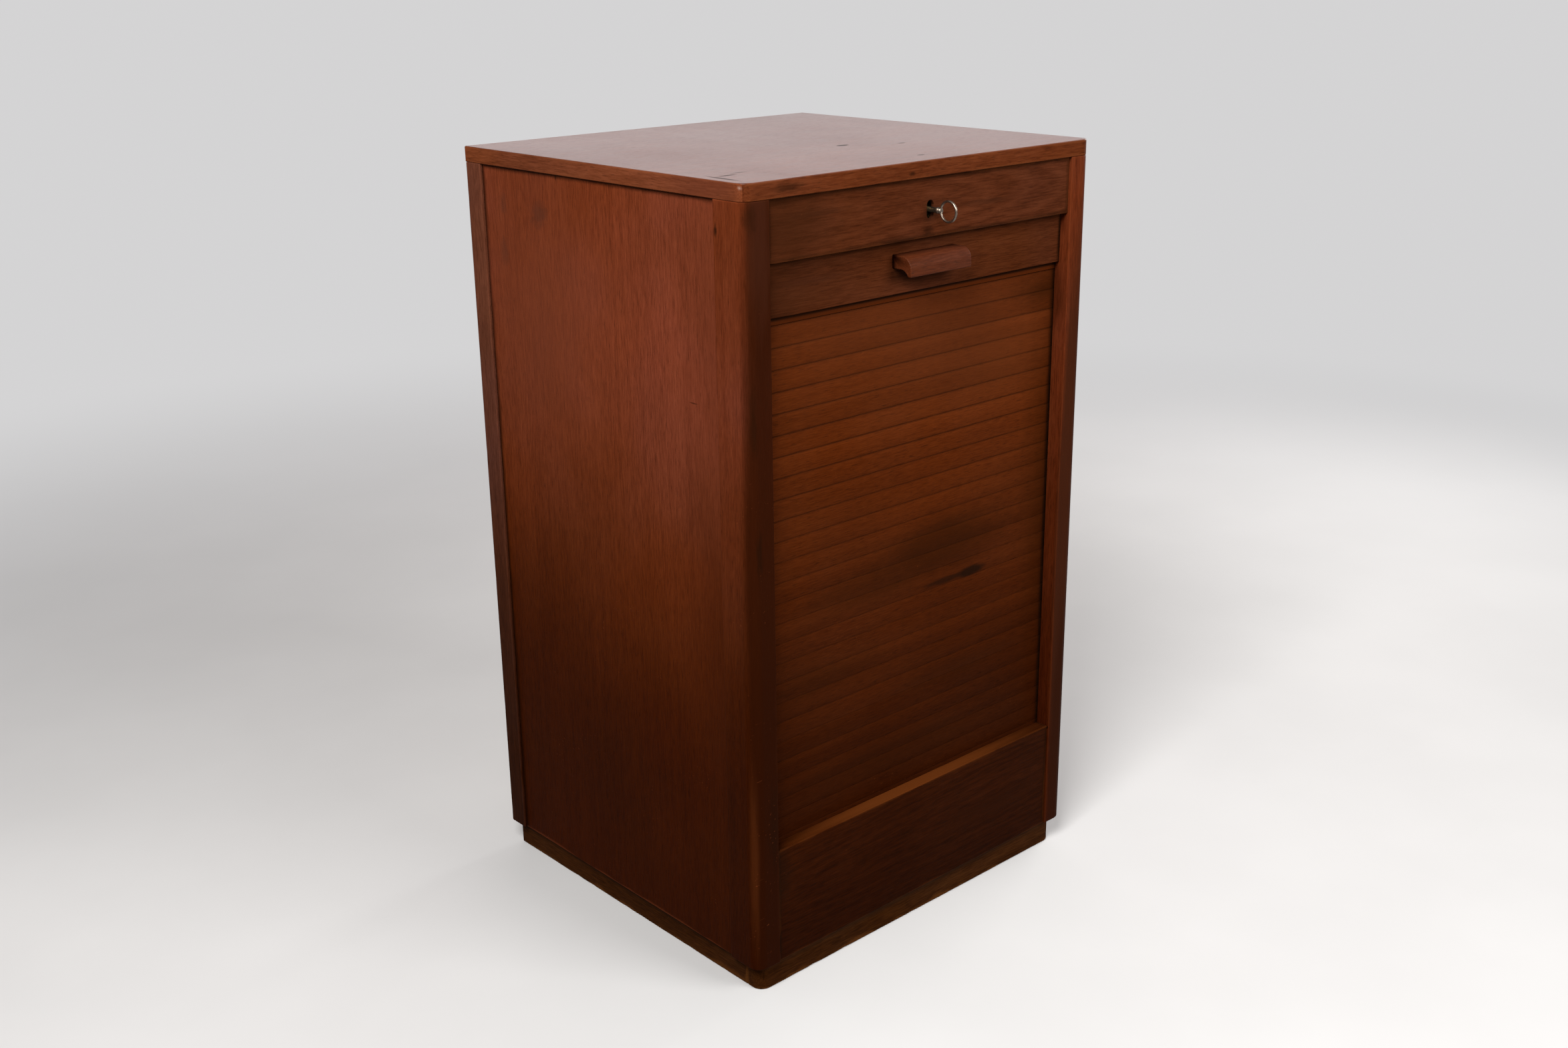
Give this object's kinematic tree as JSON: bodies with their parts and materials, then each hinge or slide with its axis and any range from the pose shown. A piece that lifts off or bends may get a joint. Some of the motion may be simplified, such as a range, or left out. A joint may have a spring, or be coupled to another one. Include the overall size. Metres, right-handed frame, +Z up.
{
  "type": "tambour cabinet",
  "caption": "Free-standing wooden cabinet with a downward-opening tambour shutter, wooden pull, keyed hook lock, inner shelves and a set-back plinth.",
  "frame": {"origin": "on the floor, under the middle of the whole object with the key in its lock", "axes": "+Z up, -Y towards the front with the shutter, +X to the right as seen from the front"},
  "size_m": [0.47, 0.4624, 0.8],
  "materials": {
    "case_wood": "red-brown stain, worn satin varnish",
    "shutter_wood": "red-brown stain, satin varnish",
    "pull_wood": "red-brown stain, polished by hands",
    "plinth_wood": "worn stain",
    "inner_wood": "plain wood, thin varnish",
    "back_plywood": "plain plywood",
    "canvas": "plain woven linen",
    "screw_steel": "dull steel",
    "lock_steel": "dull pressed steel",
    "lock_brass": "dull brass",
    "key_steel": "worn nickel plate"
  },
  "bodies": {
    "cabinet": {"top_board": "case_wood", "front_post_left": "case_wood", "front_post_right": "case_wood", "rear_post_left": "case_wood", "rear_post_right": "case_wood", "side_panel_left": "case_wood", "side_panel_right": "case_wood", "guide_board_left": "inner_wood", "guide_board_right": "inner_wood", "back_panel": "back_plywood", "back_screws": "screw_steel", "bottom_board": "inner_wood", "inner_floor": "inner_wood", "false_back": "inner_wood", "apron": "case_wood", "lock_rail": "case_wood", "plinth_front": "plinth_wood", "plinth_rear": "plinth_wood", "plinth_left": "plinth_wood", "plinth_right": "plinth_wood", "shelf_1": "inner_wood", "shelf_2": "inner_wood", "shelf_pegs": "inner_wood", "lock_case": "lock_steel", "lock_screws": "screw_steel"},
    "shutter": {"lead_rail": "shutter_wood", "pull": "pull_wood", "pull_screws": "screw_steel", "strike_plate": "lock_steel", "strike_screws": "screw_steel", "canvas": "canvas"},
    "lock_follower": {"lock_follower": "lock_brass"},
    "lock_hook": {"lock_hook": "lock_steel"},
    "key": {"key": "key_steel"},
    "slat_01": {"slat_01": "shutter_wood"},
    "slat_02": {"slat_02": "shutter_wood"},
    "slat_03": {"slat_03": "shutter_wood"},
    "slat_04": {"slat_04": "shutter_wood"},
    "slat_05": {"slat_05": "shutter_wood"},
    "slat_06": {"slat_06": "shutter_wood"},
    "slat_07": {"slat_07": "shutter_wood"},
    "slat_08": {"slat_08": "shutter_wood"},
    "slat_09": {"slat_09": "shutter_wood"},
    "slat_10": {"slat_10": "shutter_wood"},
    "slat_11": {"slat_11": "shutter_wood"},
    "slat_12": {"slat_12": "shutter_wood"},
    "slat_13": {"slat_13": "shutter_wood"},
    "slat_14": {"slat_14": "shutter_wood"},
    "slat_15": {"slat_15": "shutter_wood"},
    "slat_16": {"slat_16": "shutter_wood"},
    "slat_17": {"slat_17": "shutter_wood"},
    "slat_18": {"slat_18": "shutter_wood"},
    "slat_19": {"slat_19": "shutter_wood"},
    "slat_20": {"slat_20": "shutter_wood"},
    "slat_21": {"slat_21": "shutter_wood"},
    "slat_22": {"slat_22": "shutter_wood"},
    "slat_23": {"slat_23": "shutter_wood"},
    "slat_24": {"slat_24": "shutter_wood"},
    "slat_25": {"slat_25": "shutter_wood"},
    "slat_26": {"slat_26": "shutter_wood"}
  },
  "joints": [
    {"name": "shutter_slide", "type": "slide", "parent": "cabinet", "child": "shutter", "axis": [0, 0, -1], "range_m": [0, 0.524], "deforming": ["canvas", "slat_01", "slat_02", "slat_03", "slat_04", "slat_05", "slat_06", "slat_07", "slat_08", "slat_09", "slat_10", "slat_11", "slat_12", "slat_13", "slat_14", "slat_15", "slat_16", "slat_17", "slat_18", "slat_19", "slat_20", "slat_21", "slat_22", "slat_23", "slat_24", "slat_25", "slat_26"]},
    {"name": "key_turn", "type": "hinge", "parent": "cabinet", "child": "lock_follower", "pos_m": [0, -0.1709, 0.7534], "axis": [0, 1, 0], "range_deg": [0, 360]},
    {"name": "hook_swing", "type": "hinge", "parent": "cabinet", "child": "lock_hook", "pos_m": [0.018, -0.1709, 0.7339], "axis": [0, 1, 0], "range_deg": [0, 120]},
    {"name": "key_pull", "type": "slide", "parent": "lock_follower", "child": "key", "axis": [0, -1, 0], "range_m": [0, 0.03]},
    {"name": "slat_01_slide", "type": "slide", "parent": "cabinet", "child": "slat_01", "axis": [0, 0, -1], "range_m": [0, 0.5242]},
    {"name": "slat_02_slide", "type": "slide", "parent": "cabinet", "child": "slat_02", "axis": [0, 0, -1], "range_m": [0, 0.50702]},
    {"name": "slat_03_slide", "type": "slide", "parent": "cabinet", "child": "slat_03", "axis": [0, 0, -1], "range_m": [0, 0.48984]},
    {"name": "slat_04_slide", "type": "slide", "parent": "cabinet", "child": "slat_04", "axis": [0, 0, -1], "range_m": [0, 0.47266]},
    {"name": "slat_05_slide", "type": "slide", "parent": "cabinet", "child": "slat_05", "axis": [0, 0, -1], "range_m": [0, 0.45548]},
    {"name": "slat_06_slide", "type": "slide", "parent": "cabinet", "child": "slat_06", "axis": [0, 0, -1], "range_m": [0, 0.4383]},
    {"name": "slat_07_slide", "type": "slide", "parent": "cabinet", "child": "slat_07", "axis": [0, 0, -1], "range_m": [0, 0.42112]},
    {"name": "slat_08_slide", "type": "slide", "parent": "cabinet", "child": "slat_08", "axis": [0, 0, -1], "range_m": [0, 0.40394]},
    {"name": "slat_09_slide", "type": "slide", "parent": "cabinet", "child": "slat_09", "axis": [0, 0, -1], "range_m": [0, 0.38676]},
    {"name": "slat_10_slide", "type": "slide", "parent": "cabinet", "child": "slat_10", "axis": [0, 0, -1], "range_m": [0, 0.36958]},
    {"name": "slat_11_slide", "type": "slide", "parent": "cabinet", "child": "slat_11", "axis": [0, 0, -1], "range_m": [0, 0.3524]},
    {"name": "slat_12_slide", "type": "slide", "parent": "cabinet", "child": "slat_12", "axis": [0, 0, -1], "range_m": [0, 0.33522]},
    {"name": "slat_13_slide", "type": "slide", "parent": "cabinet", "child": "slat_13", "axis": [0, 0, -1], "range_m": [0, 0.31804]},
    {"name": "slat_14_slide", "type": "slide", "parent": "cabinet", "child": "slat_14", "axis": [0, 0, -1], "range_m": [0, 0.30086]},
    {"name": "slat_15_slide", "type": "slide", "parent": "cabinet", "child": "slat_15", "axis": [0, 0, -1], "range_m": [0, 0.28368]},
    {"name": "slat_16_slide", "type": "slide", "parent": "cabinet", "child": "slat_16", "axis": [0, 0, -1], "range_m": [0, 0.2665]},
    {"name": "slat_17_slide", "type": "slide", "parent": "cabinet", "child": "slat_17", "axis": [0, 0, -1], "range_m": [0, 0.24932]},
    {"name": "slat_18_slide", "type": "slide", "parent": "cabinet", "child": "slat_18", "axis": [0, 0, -1], "range_m": [0, 0.23214]},
    {"name": "slat_19_slide", "type": "slide", "parent": "cabinet", "child": "slat_19", "axis": [0, 0, -1], "range_m": [0, 0.21496]},
    {"name": "slat_20_slide", "type": "slide", "parent": "cabinet", "child": "slat_20", "axis": [0, 0, -1], "range_m": [0, 0.19778]},
    {"name": "slat_21_slide", "type": "slide", "parent": "cabinet", "child": "slat_21", "axis": [0, 0, -1], "range_m": [0, 0.1806]},
    {"name": "slat_22_slide", "type": "slide", "parent": "cabinet", "child": "slat_22", "axis": [0, 0, -1], "range_m": [0, 0.16342]},
    {"name": "slat_23_slide", "type": "slide", "parent": "cabinet", "child": "slat_23", "axis": [0, 0, -1], "range_m": [0, 0.14624]},
    {"name": "slat_24_slide", "type": "slide", "parent": "cabinet", "child": "slat_24", "axis": [0, 0, -1], "range_m": [0, 0.12906]},
    {"name": "slat_25_slide", "type": "slide", "parent": "cabinet", "child": "slat_25", "axis": [0, 0, -1], "range_m": [0, 0.11188]},
    {"name": "slat_26_slide", "type": "slide", "parent": "cabinet", "child": "slat_26", "axis": [0, 0, -1], "range_m": [0, 0.0947]}
  ],
  "couplings": [
    {"joint": "hook_swing", "follows": "key_turn", "ratio": 0.33333},
    {"joint": "slat_01_slide", "follows": "shutter_slide", "ratio": 1},
    {"joint": "slat_02_slide", "follows": "shutter_slide", "ratio": 0.96721},
    {"joint": "slat_03_slide", "follows": "shutter_slide", "ratio": 0.93443},
    {"joint": "slat_04_slide", "follows": "shutter_slide", "ratio": 0.90164},
    {"joint": "slat_05_slide", "follows": "shutter_slide", "ratio": 0.86886},
    {"joint": "slat_06_slide", "follows": "shutter_slide", "ratio": 0.83607},
    {"joint": "slat_07_slide", "follows": "shutter_slide", "ratio": 0.80328},
    {"joint": "slat_08_slide", "follows": "shutter_slide", "ratio": 0.7705},
    {"joint": "slat_09_slide", "follows": "shutter_slide", "ratio": 0.73771},
    {"joint": "slat_10_slide", "follows": "shutter_slide", "ratio": 0.70492},
    {"joint": "slat_11_slide", "follows": "shutter_slide", "ratio": 0.67214},
    {"joint": "slat_12_slide", "follows": "shutter_slide", "ratio": 0.63935},
    {"joint": "slat_13_slide", "follows": "shutter_slide", "ratio": 0.60657},
    {"joint": "slat_14_slide", "follows": "shutter_slide", "ratio": 0.57378},
    {"joint": "slat_15_slide", "follows": "shutter_slide", "ratio": 0.54099},
    {"joint": "slat_16_slide", "follows": "shutter_slide", "ratio": 0.50821},
    {"joint": "slat_17_slide", "follows": "shutter_slide", "ratio": 0.47542},
    {"joint": "slat_18_slide", "follows": "shutter_slide", "ratio": 0.44263},
    {"joint": "slat_19_slide", "follows": "shutter_slide", "ratio": 0.40985},
    {"joint": "slat_20_slide", "follows": "shutter_slide", "ratio": 0.37706},
    {"joint": "slat_21_slide", "follows": "shutter_slide", "ratio": 0.34427},
    {"joint": "slat_22_slide", "follows": "shutter_slide", "ratio": 0.31149},
    {"joint": "slat_23_slide", "follows": "shutter_slide", "ratio": 0.2787},
    {"joint": "slat_24_slide", "follows": "shutter_slide", "ratio": 0.24592},
    {"joint": "slat_25_slide", "follows": "shutter_slide", "ratio": 0.21313},
    {"joint": "slat_26_slide", "follows": "shutter_slide", "ratio": 0.18034}
  ]
}
